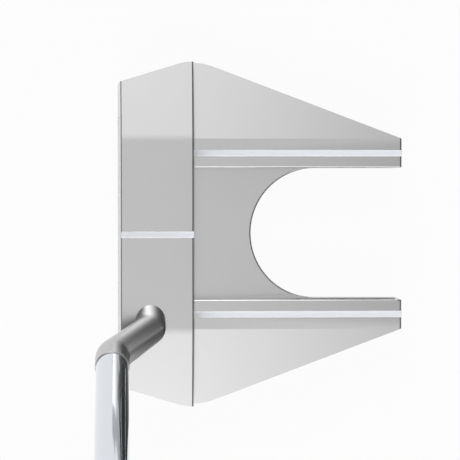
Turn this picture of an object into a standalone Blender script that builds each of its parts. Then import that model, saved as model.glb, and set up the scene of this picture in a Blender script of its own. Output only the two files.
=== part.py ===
"""A two-wing mallet putter at rest on its sole: head, slant neck, shaft and grip.

+X runs from the face to the rear, +Y from the heel to the toe and +Z up.
The origin is on the sole, on the centre line, behind the leading edge.
"""

import math

import bmesh
import bpy
from mathutils import Matrix, Vector

MM = 0.001

# Head plan
LEADING_EDGE_AHEAD = 30.0 * MM
HEAD_DEPTH = 87.5 * MM
HEAD_LENGTH = 105.3 * MM
FACE_LENGTH = 92.6 * MM
APEX_SETBACK = 23.2 * MM
APEX_RADIUS = 18.0 * MM
WING_CORNER = 1.0 * MM
BAR_DEPTH = 22.9 * MM
CHANNEL_WIDTH = 40.6 * MM
CREASE_SPACING = 58.6 * MM
CUTOUT_SETBACK = 41.4 * MM

# Head section
BAR_HEIGHT = 25.5 * MM
WING_HEIGHT = 17.0 * MM
FLOOR_THICKNESS = 6.0 * MM
END_SLOPE = math.radians(9.5)
LOFT = math.radians(2.0)
LEADING_EDGE_HEIGHT = 3.0 * MM
EDGE_RADIUS = 0.45 * MM
SOLE_FRONT_RELIEF = math.radians(12.0)
SOLE_FRONT_LENGTH = 7.0 * MM
SOLE_REAR_RELIEF = math.radians(5.0)
SOLE_REAR_START = 52.0 * MM
SOLE_END_RELIEF = math.radians(12.0)

# Sight lines, paint in milled grooves
LINE_WIDTH = 2.0 * MM
LINE_DEPTH = 0.7 * MM
LINE_MENISCUS = 0.2 * MM

# Face insert and its pad
INSERT_LENGTH = 72.0 * MM
INSERT_FOOT = 5.0 * MM
INSERT_TOP_LAND = 5.5 * MM
INSERT_CORNER = 6.0 * MM
INSERT_THICKNESS = 3.2 * MM
PAD_THICKNESS = 1.0 * MM

# Neck
LIE = math.radians(70.0)
NECK_DIAMETER = 8.5 * MM
TENON_DIAMETER = 6.4 * MM
COLLAR_DIAMETER = 10.0 * MM
NECK_SETBACK = 9.85 * MM
NECK_HEELWARD = 26.0 * MM
NECK_STUB = 6.0 * MM
NECK_RISE = 25.5 * MM
COLLAR_RISE = 7.0 * MM
NECK_BEND = 8.0 * MM
SOCKET_DEPTH = 14.0 * MM
SPIGOT_LENGTH = 25.0 * MM

# Shaft, measured along its axis from the ground
CLUB_LENGTH = 863.6 * MM
SHAFT_AHEAD = 1.7 * MM
SHAFT_GROUND = 13.6 * MM
TIP_DIAMETER = 9.4 * MM
BUTT_DIAMETER = 14.7 * MM
SHAFT_WALL = 0.6 * MM
STEP_COUNT = 14
FIRST_STEP = 120.0 * MM
STEP_PITCH = 27.0 * MM

# Grip
GRIP_LENGTH = 267.0 * MM
GRIP_MOUTH_RADIUS = 9.9 * MM
GRIP_BUTT_HALF_WIDTH = 13.0 * MM
GRIP_BUTT_BACK = 15.5 * MM
GRIP_FLAT_OFFSET = 9.3 * MM
GRIP_CORNER = 2.5 * MM
TAPE_THICKNESS = 0.3 * MM
TAPE_INSET = 3.0 * MM
CAP_THICKNESS = 3.0 * MM
CAP_PLUG_LENGTH = 9.0 * MM
VENT_DIAMETER = 2.6 * MM

# Sole weights
WEIGHT_DIAMETER = 12.0 * MM
WEIGHT_THICKNESS = 3.0 * MM
WEIGHT_SHANK = 8.0 * MM
WEIGHT_LENGTH = 9.5 * MM
WEIGHT_WALL = 2.7 * MM
WEIGHT_SETBACK = 38.0 * MM
PORT_LAND = 1.0 * MM
DRIVE_WIDTH = 4.0 * MM
DRIVE_DEPTH = 2.2 * MM

# Fits
FIT = 0.15 * MM
GAP = 0.3 * MM
TAPE_FIT = 0.1 * MM
SPARE = 10.0 * MM

# Facets
ROUND_SIDES = 32
SHAFT_SIDES = 28
SOCKET_SIDES = 48
VENT_SIDES = 16
HEX_SIDES = 6
ARC_STEPS = 10
BAY_STEPS = 24
CORNER_STEPS = 5
EDGE_SEGMENTS = 2
GRIP_STATIONS = 8
GRIP_BACK_STEPS = 16
EDGE_ANGLE = math.radians(30.0)
FLAT_ANGLE = math.radians(0.2)
WELD = 0.001 * MM

# Places that follow from the sizes above
leading_edge = -LEADING_EDGE_AHEAD
bar_rear = leading_edge + BAR_DEPTH
head_rear = leading_edge + HEAD_DEPTH
apex_x = leading_edge + APEX_SETBACK
crease = CREASE_SPACING / 2
channel = CHANNEL_WIDTH / 2
wing_line = (channel + crease) / 2
insert_height = BAR_HEIGHT - INSERT_FOOT - INSERT_TOP_LAND
insert_centre = INSERT_FOOT + insert_height / 2
cutout_front = leading_edge + CUTOUT_SETBACK
weight_x = leading_edge + WEIGHT_SETBACK
weight_y = channel + WEIGHT_WALL + WEIGHT_DIAMETER / 2
sole_end_start = weight_y + WEIGHT_DIAMETER / 2 + PORT_LAND
shaft_way = Vector((0.0, -math.cos(LIE), math.sin(LIE)))
shaft_foot = Vector((leading_edge - SHAFT_AHEAD, -SHAFT_GROUND, 0.0))
neck_base = Vector((leading_edge + NECK_SETBACK, -NECK_HEELWARD, BAR_HEIGHT))
low_elbow = neck_base + shaft_way * (NECK_STUB / math.sin(LIE))
high_elbow = shaft_foot + shaft_way * ((low_elbow.z + NECK_RISE) / math.sin(LIE))
collar_top = (high_elbow - shaft_foot).length + COLLAR_RISE / math.sin(LIE)
bore_radius = TIP_DIAMETER / 2 - SHAFT_WALL
tape_radius = BUTT_DIAMETER / 2 + TAPE_FIT + TAPE_THICKNESS
grip_mouth = CLUB_LENGTH - GRIP_LENGTH
cap_seat = CLUB_LENGTH - CAP_THICKNESS

for old in list(bpy.data.objects):
    bpy.data.objects.remove(old, do_unlink=True)

parts = bpy.data.collections.new("mallet_putter")
cutters = bpy.data.collections.new("cutters")
for group in (parts, cutters):
    bpy.context.scene.collection.children.link(group)

# Frames that lay a flat outline across X or across Y
ACROSS_X = Matrix(((0, 0, 1, 0), (1, 0, 0, 0), (0, 1, 0, 0), (0, 0, 0, 1)))
ACROSS_Y = Matrix(((0, 1, 0, 0), (0, 0, 1, 0), (1, 0, 0, 0), (0, 0, 0, 1)))


def frame_empty(name, matrix):
    empty = bpy.data.objects.new(name, None)
    parts.objects.link(empty)
    empty.matrix_world = matrix
    return empty


def finish(obj, name, turn=None, parent=None):
    """Names an object, puts it in its place and files it as a part."""
    obj.name = name
    obj.data.name = name
    for group in list(obj.users_collection):
        group.objects.unlink(obj)
    parts.objects.link(obj)
    obj.parent = parent
    obj.matrix_basis = turn or Matrix()
    return obj


def as_cutter(obj):
    parts.objects.unlink(obj)
    cutters.objects.link(obj)
    obj.hide_render = True
    obj.display_type = "WIRE"
    return obj


def coat(obj, name, colour, roughness, metallic):
    skin = bpy.data.materials.new(name)
    skin.use_nodes = True
    shader = skin.node_tree.nodes["Principled BSDF"]
    shader.inputs["Base Color"].default_value = (*colour, 1.0)
    shader.inputs["Roughness"].default_value = roughness
    shader.inputs["Metallic"].default_value = metallic
    obj.data.materials.append(skin)


def smooth(obj):
    obj.data.shade_smooth()
    obj.data.set_sharp_from_angle(angle=EDGE_ANGLE)


def combine(obj, tool, operation="DIFFERENCE"):
    step = obj.modifiers.new(tool.name, "BOOLEAN")
    step.operation = operation
    step.object = tool


def bevel(obj, width):
    rounding = obj.modifiers.new("edge_rounding", "BEVEL")
    rounding.width = width
    rounding.segments = EDGE_SEGMENTS
    rounding.limit_method = "ANGLE"
    rounding.angle_limit = EDGE_ANGLE
    rounding.use_clamp_overlap = False


def mesh_from_curve(curve):
    """A closed mesh of a curve, with its caps welded and its flat faces whole."""
    guide = bpy.data.objects.new("guide", curve)
    bpy.context.scene.collection.objects.link(guide)
    graph = bpy.context.evaluated_depsgraph_get()
    mesh = bpy.data.meshes.new_from_object(guide.evaluated_get(graph))
    bpy.data.objects.remove(guide, do_unlink=True)
    shape = bmesh.new()
    shape.from_mesh(mesh)
    bmesh.ops.remove_doubles(shape, verts=shape.verts, dist=WELD)
    bmesh.ops.dissolve_limit(
        shape, angle_limit=FLAT_ANGLE, verts=shape.verts, edges=shape.edges
    )
    bmesh.ops.recalc_face_normals(shape, faces=shape.faces)
    shape.to_mesh(mesh)
    shape.free()
    return mesh


def outline_solid(name, points, low, high, turn=None, parent=None):
    """A flat outline given thickness, from low to high along its own normal."""
    curve = bpy.data.curves.new(name, "CURVE")
    curve.dimensions = "2D"
    curve.fill_mode = "BOTH"
    curve.extrude = (high - low) / 2
    spline = curve.splines.new("POLY")
    spline.points.add(len(points) - 1)
    for spot, (x, y) in zip(spline.points, points):
        spot.co = (x, y, 0.0, 1.0)
    spline.use_cyclic_u = True
    solid = bpy.data.objects.new(name, mesh_from_curve(curve))
    lift = Matrix.Translation((0.0, 0.0, (low + high) / 2))
    return finish(solid, name, (turn or Matrix()) @ lift, parent)


def round_bar(name, radius, low, high, turn=None, parent=None, sides=ROUND_SIDES):
    bpy.ops.mesh.primitive_cylinder_add(vertices=sides, radius=radius, depth=high - low)
    lift = Matrix.Translation((0.0, 0.0, (low + high) / 2))
    return finish(bpy.context.object, name, (turn or Matrix()) @ lift, parent)


def turned(name, profile, turn=None, parent=None, steps=ROUND_SIDES):
    """A closed profile of (radius, height) points spun about its own Z."""
    shape = bmesh.new()
    ring = [shape.verts.new((radius, 0.0, height)) for radius, height in profile]
    for first, second in zip(ring, ring[1:] + ring[:1]):
        shape.edges.new((first, second))
    mesh = bpy.data.meshes.new(name)
    shape.to_mesh(mesh)
    shape.free()
    solid = finish(bpy.data.objects.new(name, mesh), name, turn, parent)
    spin = solid.modifiers.new("spin", "SCREW")
    spin.steps = steps
    spin.render_steps = steps
    spin.use_merge_vertices = True
    spin.merge_threshold = WELD
    return solid


def arc(centre, radius, start, end, steps=ARC_STEPS):
    turns = [start + (end - start) * k / steps for k in range(steps + 1)]
    return [
        (centre[0] + radius * math.cos(t), centre[1] + radius * math.sin(t)) for t in turns
    ]


def rounded_box(length, height, corner):
    """A rectangle about its own centre with its four corners rounded."""
    points = []
    for quarter, (sx, sy) in enumerate(((1, 1), (-1, 1), (-1, -1), (1, -1))):
        centre = (sx * (length / 2 - corner), sy * (height / 2 - corner))
        start = quarter * math.pi / 2
        points += arc(centre, corner, start, start + math.pi / 2, CORNER_STEPS)
    return points


def mirrored(points):
    """Toe-side points, front to rear, followed by their heel-side twins."""
    return points + [(x, -y) for x, y in reversed(points)]


def plan_outline():
    """The head from above: straight sides drawn tangent to a round apex at toe and heel."""
    centre = Vector((apex_x, HEAD_LENGTH / 2 - APEX_RADIUS))
    front = Vector((leading_edge, FACE_LENGTH / 2)) - centre
    rear = Vector((head_rear, crease)) - centre
    front_turn = math.atan2(front.y, front.x) - math.acos(APEX_RADIUS / front.length)
    rear_turn = math.atan2(rear.y, rear.x) + math.acos(APEX_RADIUS / rear.length)
    apex = arc(centre, APEX_RADIUS, front_turn, rear_turn)
    slant = math.pi / 2 - rear_turn
    ahead = (leading_edge - SPARE, FACE_LENGTH / 2 - SPARE * math.tan(front_turn - math.pi / 2))
    corner_y = crease + WING_CORNER * (math.tan(slant) - 1.0 / math.cos(slant))
    corner = arc((head_rear - WING_CORNER, corner_y), WING_CORNER, rear_turn, 0.0, CORNER_STEPS)
    return mirrored([ahead] + apex + corner)


def roof_outline(crest, floor=None):
    """The space above a crest that is level between the creases and falls away outside them."""
    reach = HEAD_LENGTH
    fall = (reach - crease) * math.tan(END_SLOPE)
    top = BAR_HEIGHT + SPARE
    half = [(reach, top), (reach, crest - fall), (crease, crest)]
    if floor is not None:
        half += [(channel, crest), (channel, floor)]
    return half + [(-y, z) for y, z in reversed(half)]


def head_blank():
    """The head before its pockets: one block cut to its roofs, channel, cut-out, sole and loft."""
    head = outline_solid("head_body", plan_outline(), 0.0, BAR_HEIGHT + SPARE)
    far = head_rear + SPARE
    near = leading_edge - 2 * SPARE
    wide = HEAD_LENGTH
    cuts = [
        outline_solid("bar_roof", roof_outline(BAR_HEIGHT), near, far, ACROSS_X),
        outline_solid(
            "wing_roof", roof_outline(WING_HEIGHT, FLOOR_THICKNESS), bar_rear, far, ACROSS_X
        ),
    ]
    front_start = leading_edge + SOLE_FRONT_LENGTH
    rear_start = leading_edge + SOLE_REAR_START
    front_rise = (front_start - near) * math.tan(SOLE_FRONT_RELIEF)
    rear_rise = (far - rear_start) * math.tan(SOLE_REAR_RELIEF)
    sole = [(-SPARE, near), (front_rise, near), (0.0, front_start)]
    sole += [(0.0, rear_start), (rear_rise, far), (-SPARE, far)]
    cuts.append(outline_solid("sole_relief", sole, -wide, wide, ACROSS_Y))
    end_rise = (wide - sole_end_start) * math.tan(SOLE_END_RELIEF)
    ends = [(wide, -SPARE), (wide, end_rise), (sole_end_start, 0.0)]
    ends += [(-y, z) for y, z in reversed(ends)]
    cuts.append(outline_solid("sole_ends", ends, near, far, ACROSS_X))
    lean = math.tan(LOFT)
    low = leading_edge - (LEADING_EDGE_HEIGHT + SPARE) * lean
    high = leading_edge + (BAR_HEIGHT + 2 * SPARE - LEADING_EDGE_HEIGHT) * lean
    loft = [(-SPARE, near), (-SPARE, low), (BAR_HEIGHT + 2 * SPARE, high)]
    loft.append((BAR_HEIGHT + 2 * SPARE, near))
    cuts.append(outline_solid("face_loft", loft, -wide, wide, ACROSS_Y))
    for tool in cuts:
        combine(head, as_cutter(tool))
    bevel(head, EDGE_RADIUS)
    centre = (cutout_front + channel, 0.0)
    bay = [(far, channel)] + arc(centre, channel, math.pi / 2, 1.5 * math.pi, BAY_STEPS)
    bay.append((far, -channel))
    rear_bay = outline_solid("rear_bay", bay, -SPARE, WING_HEIGHT + SPARE)
    combine(head, as_cutter(rear_bay))
    coat(head, "satin_aluminium", (0.56, 0.56, 0.56), 0.42, 1.0)
    return head


def face_frame():
    """A frame on the face at the insert's centre, its Z out of the face and its Y up it."""
    spot = Vector((leading_edge, 0.0, insert_centre))
    spot.x += (insert_centre - LEADING_EDGE_HEIGHT) * math.tan(LOFT)
    out = Vector((-math.cos(LOFT), 0.0, math.sin(LOFT)))
    up = Vector((math.sin(LOFT), 0.0, math.cos(LOFT)))
    matrix = Matrix((up.cross(out), up, out)).transposed().to_4x4()
    matrix.translation = spot
    return frame_empty("face_frame", matrix)


def build_insert(head):
    frame = face_frame()
    pad_back = -(INSERT_THICKNESS + GAP + PAD_THICKNESS)
    pocket = rounded_box(INSERT_LENGTH, insert_height, INSERT_CORNER)
    tool = outline_solid("insert_pocket", pocket, pad_back - GAP, SPARE, parent=frame)
    combine(head, as_cutter(tool))
    shape = rounded_box(INSERT_LENGTH - 2 * FIT, insert_height - 2 * FIT, INSERT_CORNER - FIT)
    insert = outline_solid("face_insert", shape, -INSERT_THICKNESS, 0.0, parent=frame)
    coat(insert, "white_urethane", (0.78, 0.78, 0.76), 0.5, 0.0)
    pad = outline_solid("insert_backing", shape, pad_back, pad_back + PAD_THICKNESS, parent=frame)
    coat(pad, "elastomer_pad", (0.05, 0.05, 0.06), 0.7, 0.0)


def line_section(crest):
    """A paint fill across its groove: flat below, drawn down in the middle as paint dries."""
    half = LINE_WIDTH / 2 - FIT
    radius = (half * half + LINE_MENISCUS * LINE_MENISCUS) / (2 * LINE_MENISCUS)
    spread = math.asin(half / radius)
    top = arc((0.0, crest - FIT + radius - LINE_MENISCUS), radius, -math.pi / 2 - spread,
              -math.pi / 2 + spread, CORNER_STEPS)
    return top + [(half, crest - LINE_DEPTH + FIT), (-half, crest - LINE_DEPTH + FIT)]


def build_sight_line(head, name, offset, crest, front, rear, groove_front):
    side = Matrix.Translation((0.0, offset, 0.0)) @ ACROSS_X
    half = LINE_WIDTH / 2
    trough = [(-half, crest - LINE_DEPTH), (half, crest - LINE_DEPTH)]
    trough += [(half, crest + SPARE / 2), (-half, crest + SPARE / 2)]
    groove = outline_solid(name + "_groove", trough, groove_front, rear + SPARE / 2, side)
    combine(head, as_cutter(groove))
    paint = outline_solid(name, line_section(crest), front, rear, side)
    coat(paint, "white_paint_fill", (0.80, 0.82, 0.84), 0.5, 0.0)


def build_sight_lines(head):
    face_top = leading_edge + (BAR_HEIGHT - LEADING_EDGE_HEIGHT) * math.tan(LOFT)
    build_sight_line(
        head, "sight_line_front", 0.0, BAR_HEIGHT,
        face_top + EDGE_RADIUS, bar_rear - EDGE_RADIUS, leading_edge - SPARE,
    )
    start = bar_rear + 2 * EDGE_RADIUS
    for name, offset in (("sight_line_toe", wing_line), ("sight_line_heel", -wing_line)):
        build_sight_line(
            head, name, offset, WING_HEIGHT, start + FIT, head_rear - EDGE_RADIUS, start
        )


def build_weights(head):
    radius = WEIGHT_DIAMETER / 2
    shank = WEIGHT_SHANK / 2
    profile = [(0.0, WEIGHT_LENGTH), (shank, WEIGHT_LENGTH), (shank, WEIGHT_THICKNESS)]
    profile += [(radius, WEIGHT_THICKNESS), (radius, GAP), (0.0, GAP)]
    port = [(0.0, WEIGHT_LENGTH + GAP), (shank + FIT, WEIGHT_LENGTH + GAP)]
    port += [(shank + FIT, WEIGHT_THICKNESS + GAP), (radius + FIT, WEIGHT_THICKNESS + GAP)]
    port += [(radius + FIT, -SPARE), (0.0, -SPARE)]
    for name, side in (("toe_weight", 1), ("heel_weight", -1)):
        spot = Matrix.Translation((weight_x, side * weight_y, 0.0))
        combine(head, as_cutter(turned(name + "_port", port, spot)))
        weight = turned(name, profile, spot)
        drive = round_bar(
            name + "_drive", DRIVE_WIDTH / math.sqrt(3), -SPARE, GAP + DRIVE_DEPTH, spot,
            sides=HEX_SIDES,
        )
        combine(weight, as_cutter(drive))
        coat(weight, "turned_steel", (0.42, 0.42, 0.43), 0.35, 1.0)


def bent_path(points, bend, steps=ARC_STEPS):
    """The points with each inner one replaced by an arc of the bend radius."""
    path = [points[0]]
    for before, at, after in zip(points, points[1:], points[2:]):
        into = (at - before).normalized()
        out = (after - at).normalized()
        turn = into.angle(out)
        start = at - into * bend * math.tan(turn / 2)
        inward = (out - into * into.dot(out)).normalized()
        for k in range(steps + 1):
            t = turn * k / steps
            path.append(start + into * bend * math.sin(t) + inward * bend * (1 - math.cos(t)))
    return path + [points[-1]]


def shaft_frame():
    """A frame where the shaft meets the ground, its Z up the shaft, its Y off from the player."""
    matrix = Matrix.Rotation(math.pi / 2 - LIE, 4, "X")
    matrix.translation = shaft_foot
    return frame_empty("shaft_frame", matrix)


def build_neck(head, frame):
    """A bent round rod: a tenon in the bar, a slant to the shaft's axis, a collar, a spigot."""
    socket_end = neck_base - shaft_way * SOCKET_DEPTH
    rim = shaft_foot + shaft_way * collar_top
    root = neck_base - shaft_way * NECK_DIAMETER
    path = bent_path([root, low_elbow, high_elbow, rim], NECK_BEND)
    curve = bpy.data.curves.new("slant_neck", "CURVE")
    curve.dimensions = "3D"
    curve.bevel_depth = NECK_DIAMETER / 2
    curve.bevel_resolution = ARC_STEPS
    curve.use_fill_caps = True
    spline = curve.splines.new("POLY")
    spline.points.add(len(path) - 1)
    swell = COLLAR_DIAMETER / NECK_DIAMETER
    for spot, place in zip(spline.points, path):
        spot.co = (*place, 1.0)
        past = max(0.0, (place.z - low_elbow.z) / (rim.z - low_elbow.z))
        spot.radius = 1.0 + (swell - 1.0) * past
    neck = finish(bpy.data.objects.new("slant_neck", mesh_from_curve(curve)), "slant_neck")
    reach = 2 * NECK_DIAMETER
    foot_cut = outline_solid(
        "neck_foot", rounded_box(reach, reach, FIT), -reach, BAR_HEIGHT + FIT,
        Matrix.Translation((neck_base.x, neck_base.y, 0.0)),
    )
    combine(neck, as_cutter(foot_cut))
    tilt = frame.matrix_world.copy()
    tilt.translation = socket_end
    tenon = round_bar(
        "neck_tenon", TENON_DIAMETER / 2, GAP, SOCKET_DEPTH + NECK_STUB / 2, tilt
    )
    combine(neck, as_cutter(tenon), "UNION")
    spigot = round_bar(
        "neck_spigot", bore_radius - FIT, collar_top - COLLAR_RISE / 2,
        collar_top + SPIGOT_LENGTH, parent=frame,
    )
    combine(neck, as_cutter(spigot), "UNION")
    smooth(neck)
    coat(neck, "satin_steel", (0.52, 0.52, 0.52), 0.38, 1.0)
    socket = round_bar(
        "neck_socket", TENON_DIAMETER / 2 + FIT, 0.0, SOCKET_DEPTH + SPARE, tilt, sides=SOCKET_SIDES
    )
    combine(head, as_cutter(socket))


def build_shaft(frame):
    """A drawn steel tube: plain at the tip, then stepped up to the butt."""
    low = collar_top + GAP
    high = cap_seat - GAP
    rise = (BUTT_DIAMETER - TIP_DIAMETER) / 2 / STEP_COUNT
    outer = [(TIP_DIAMETER / 2, low)]
    for k in range(STEP_COUNT):
        height = collar_top + FIRST_STEP + k * STEP_PITCH
        radius = TIP_DIAMETER / 2 + k * rise
        outer += [(radius, height), (radius + rise, height + 2 * rise)]
    outer.append((BUTT_DIAMETER / 2, high))
    plain = outer[1][1]
    full = outer[-2][1]
    butt_bore = BUTT_DIAMETER / 2 - SHAFT_WALL
    inner = [(bore_radius, low), (bore_radius, plain), (butt_bore, full), (butt_bore, high)]
    shaft = turned("shaft_tube", outer[::-1] + inner, parent=frame, steps=SHAFT_SIDES)
    coat(shaft, "chrome_steel", (0.70, 0.71, 0.73), 0.06, 1.0)


def grip_section(share):
    """The grip's outline at a share of its length: a flat front and an oval back."""
    ease = share * share * (3.0 - 2.0 * share)
    half = GRIP_MOUTH_RADIUS + (GRIP_BUTT_HALF_WIDTH - GRIP_MOUTH_RADIUS) * share
    back = GRIP_MOUTH_RADIUS + (GRIP_BUTT_BACK - GRIP_MOUTH_RADIUS) * ease
    corner_x = half - GRIP_CORNER
    corner_y = GRIP_FLAT_OFFSET - GRIP_CORNER
    points = arc((corner_x, corner_y), GRIP_CORNER, 0.0, math.pi / 2, CORNER_STEPS)
    points += arc((-corner_x, corner_y), GRIP_CORNER, math.pi / 2, math.pi, CORNER_STEPS)
    below = [math.pi * (1 + k / GRIP_BACK_STEPS) for k in range(GRIP_BACK_STEPS + 1)]
    return points + [(half * math.cos(t), back * math.sin(t)) for t in below]


def build_grip(frame):
    """A rubber sleeve lofted from a near-round mouth to a deep butt, over tape, with a cap."""
    shape = bmesh.new()
    rings = []
    for k in range(GRIP_STATIONS + 1):
        share = k / GRIP_STATIONS
        height = grip_mouth + (cap_seat - FIT - grip_mouth) * share
        ring = [shape.verts.new((x, y, height)) for x, y in grip_section(share)]
        rings.append(ring)
    for lower, upper in zip(rings, rings[1:]):
        for k in range(len(lower)):
            following = (k + 1) % len(lower)
            shape.faces.new((lower[k], lower[following], upper[following], upper[k]))
    shape.faces.new(rings[0])
    shape.faces.new(rings[-1])
    bmesh.ops.remove_doubles(shape, verts=shape.verts, dist=WELD)
    bmesh.ops.recalc_face_normals(shape, faces=shape.faces)
    mesh = bpy.data.meshes.new("grip_sleeve")
    shape.to_mesh(mesh)
    shape.free()
    sleeve = finish(bpy.data.objects.new("grip_sleeve", mesh), "grip_sleeve", parent=frame)
    bore = round_bar(
        "grip_bore", tape_radius + TAPE_FIT, grip_mouth - SPARE, CLUB_LENGTH + SPARE, parent=frame
    )
    combine(sleeve, as_cutter(bore))
    smooth(sleeve)
    coat(sleeve, "moulded_rubber", (0.012, 0.012, 0.013), 0.7, 0.0)

    inner = BUTT_DIAMETER / 2 + TAPE_FIT
    low = grip_mouth + TAPE_INSET
    high = cap_seat - GAP
    wrap = [(tape_radius, high), (tape_radius, low), (inner, low), (inner, high)]
    tape = turned("grip_tape", wrap, parent=frame)
    coat(tape, "paper_tape", (0.62, 0.60, 0.55), 0.8, 0.0)

    cap = outline_solid("grip_cap", grip_section(1.0), cap_seat, CLUB_LENGTH, parent=frame)
    plug = round_bar(
        "cap_plug", BUTT_DIAMETER / 2 - SHAFT_WALL - FIT, cap_seat - CAP_PLUG_LENGTH,
        cap_seat + CAP_THICKNESS / 2, parent=frame,
    )
    combine(cap, as_cutter(plug), "UNION")
    vent = round_bar(
        "cap_vent", VENT_DIAMETER / 2, cap_seat - CAP_PLUG_LENGTH - SPARE,
        CLUB_LENGTH + SPARE, parent=frame, sides=VENT_SIDES,
    )
    combine(cap, as_cutter(vent))
    coat(cap, "moulded_rubber_cap", (0.015, 0.015, 0.016), 0.6, 0.0)


def build_putter():
    head = head_blank()
    frame = shaft_frame()
    bpy.context.view_layer.update()
    build_neck(head, frame)
    build_insert(head)
    build_sight_lines(head)
    build_weights(head)
    build_shaft(frame)
    build_grip(frame)


build_putter()
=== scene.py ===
import math

import bmesh
import bpy
from mathutils import Matrix, Vector


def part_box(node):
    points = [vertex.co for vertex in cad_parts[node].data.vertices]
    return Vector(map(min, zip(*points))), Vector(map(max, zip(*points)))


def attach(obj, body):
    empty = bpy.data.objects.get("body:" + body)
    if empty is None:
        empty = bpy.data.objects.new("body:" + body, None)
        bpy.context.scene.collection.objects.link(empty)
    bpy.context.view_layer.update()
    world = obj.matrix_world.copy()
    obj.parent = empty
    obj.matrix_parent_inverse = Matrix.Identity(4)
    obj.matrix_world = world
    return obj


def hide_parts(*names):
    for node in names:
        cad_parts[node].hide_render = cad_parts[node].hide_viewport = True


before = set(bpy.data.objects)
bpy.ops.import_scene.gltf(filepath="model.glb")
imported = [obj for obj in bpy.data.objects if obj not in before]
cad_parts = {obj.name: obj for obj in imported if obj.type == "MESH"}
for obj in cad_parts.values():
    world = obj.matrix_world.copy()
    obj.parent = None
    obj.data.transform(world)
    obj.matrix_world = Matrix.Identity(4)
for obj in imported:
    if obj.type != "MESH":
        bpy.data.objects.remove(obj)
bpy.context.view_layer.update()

mm = 0.001
weld = 0.001 * mm  # points closer than this are one point
spare = 10.0 * mm  # how far a cutter reaches past what it cuts
scene = bpy.context.scene
scene.view_settings.view_transform = "Standard"
print("frame loaded:", len(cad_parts), "nodes")


# Small helpers

def linear(hexColour):
    parts = [int(hexColour[i:i + 2], 16) / 255 for i in (1, 3, 5)]
    return tuple(c / 12.92 if c <= 0.04045 else ((c + 0.055) / 1.055) ** 2.4 for c in parts) + (1.0,)


def addNode(tree, kind, settings=None, **links):  # a link or a value for each input, spaces written as _
    node = tree.nodes.new(kind)
    for name, value in (settings or {}).items():
        setattr(node, name, value)
    for name, value in links.items():
        key = int(name[2:]) if name.startswith("in") and name[2:].isdigit() else name.replace("_", " ")
        socket = node.inputs[key]
        if isinstance(value, bpy.types.NodeSocket):
            tree.links.new(value, socket)
        else:
            socket.default_value = value
    return node


def newMaterial(name, **values):  # the values go on the shader's own sockets
    material = bpy.data.materials.new(name)
    material.use_nodes = True
    tree = material.node_tree
    shader = tree.nodes["Principled BSDF"]
    for key, value in values.items():
        shader.inputs[key.replace("_", " ")].default_value = value
    return material, tree, shader


def linkNew(name, data):
    obj = bpy.data.objects.new(name, data)
    scene.collection.objects.link(obj)
    return obj


def fromBmesh(name, shape):
    mesh = bpy.data.meshes.new(name)
    shape.to_mesh(mesh)
    shape.free()
    return linkNew(name, mesh)


def bake(obj):  # the object as it evaluates now, as a plain mesh at the origin
    graph = bpy.context.evaluated_depsgraph_get()
    mesh = bpy.data.meshes.new_from_object(obj.evaluated_get(graph))
    mesh.transform(obj.matrix_world)
    obj.modifiers.clear()
    obj.parent = None
    obj.matrix_world = Matrix.Identity(4)
    obj.data = mesh
    mesh.name = obj.name
    return obj


def carve(obj, tool, operation="DIFFERENCE"):
    bpy.context.view_layer.update()
    step = obj.modifiers.new("carve", "BOOLEAN")
    step.operation = operation
    step.object = tool
    bake(obj)
    bpy.data.objects.remove(tool, do_unlink=True)


def startTree(name, sizes):  # a geometry tree whose sizes are named inputs
    tree = bpy.data.node_groups.new(name, "GeometryNodeTree")
    tree.interface.new_socket("Geometry", in_out="OUTPUT", socket_type="NodeSocketGeometry")
    tree.interface.new_socket("Geometry", in_out="INPUT", socket_type="NodeSocketGeometry")
    for label, value in sizes.items():
        kind = "NodeSocketInt" if isinstance(value, int) else "NodeSocketFloat"
        tree.interface.new_socket(label, in_out="INPUT", socket_type=kind)
    return tree, tree.nodes.new("NodeGroupInput").outputs


def runTree(obj, tree, sizes, shape, material):  # closes the tree and keeps the plain mesh it gives
    whole = addNode(tree, "GeometryNodeRealizeInstances", Geometry=shape)
    coated = addNode(tree, "GeometryNodeSetMaterial", Geometry=whole.outputs[0], Material=material)
    addNode(tree, "NodeGroupOutput", in0=coated.outputs[0])
    step = obj.modifiers.new(tree.name, "NODES")
    step.node_group = tree
    for item in tree.interface.items_tree:
        if item.in_out == "INPUT" and item.name in sizes:
            step[item.identifier] = sizes[item.name]
    bpy.context.view_layer.update()
    return mergeMesh(bake(obj))


def mergeMesh(obj):  # doubles joined and faces turned outwards
    shape = bmesh.new()
    shape.from_mesh(obj.data)
    bmesh.ops.remove_doubles(shape, verts=shape.verts, dist=weld)
    bmesh.ops.recalc_face_normals(shape, faces=shape.faces)
    shape.to_mesh(obj.data)
    shape.free()
    return obj


def flatSolid(name, points, low, high, turn=None):  # an outline drawn in XY and raised along Z, then turned
    shape = bmesh.new()
    ring = [shape.verts.new((x, y, low)) for x, y in points]
    base = shape.faces.new(ring)
    lifted = bmesh.ops.extrude_face_region(shape, geom=[base])
    top = [v for v in lifted["geom"] if isinstance(v, bmesh.types.BMVert)]
    bmesh.ops.translate(shape, verts=top, vec=(0, 0, high - low))
    bmesh.ops.recalc_face_normals(shape, faces=shape.faces)
    if turn:
        shape.transform(turn)
    return fromBmesh(name, shape)


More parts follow.
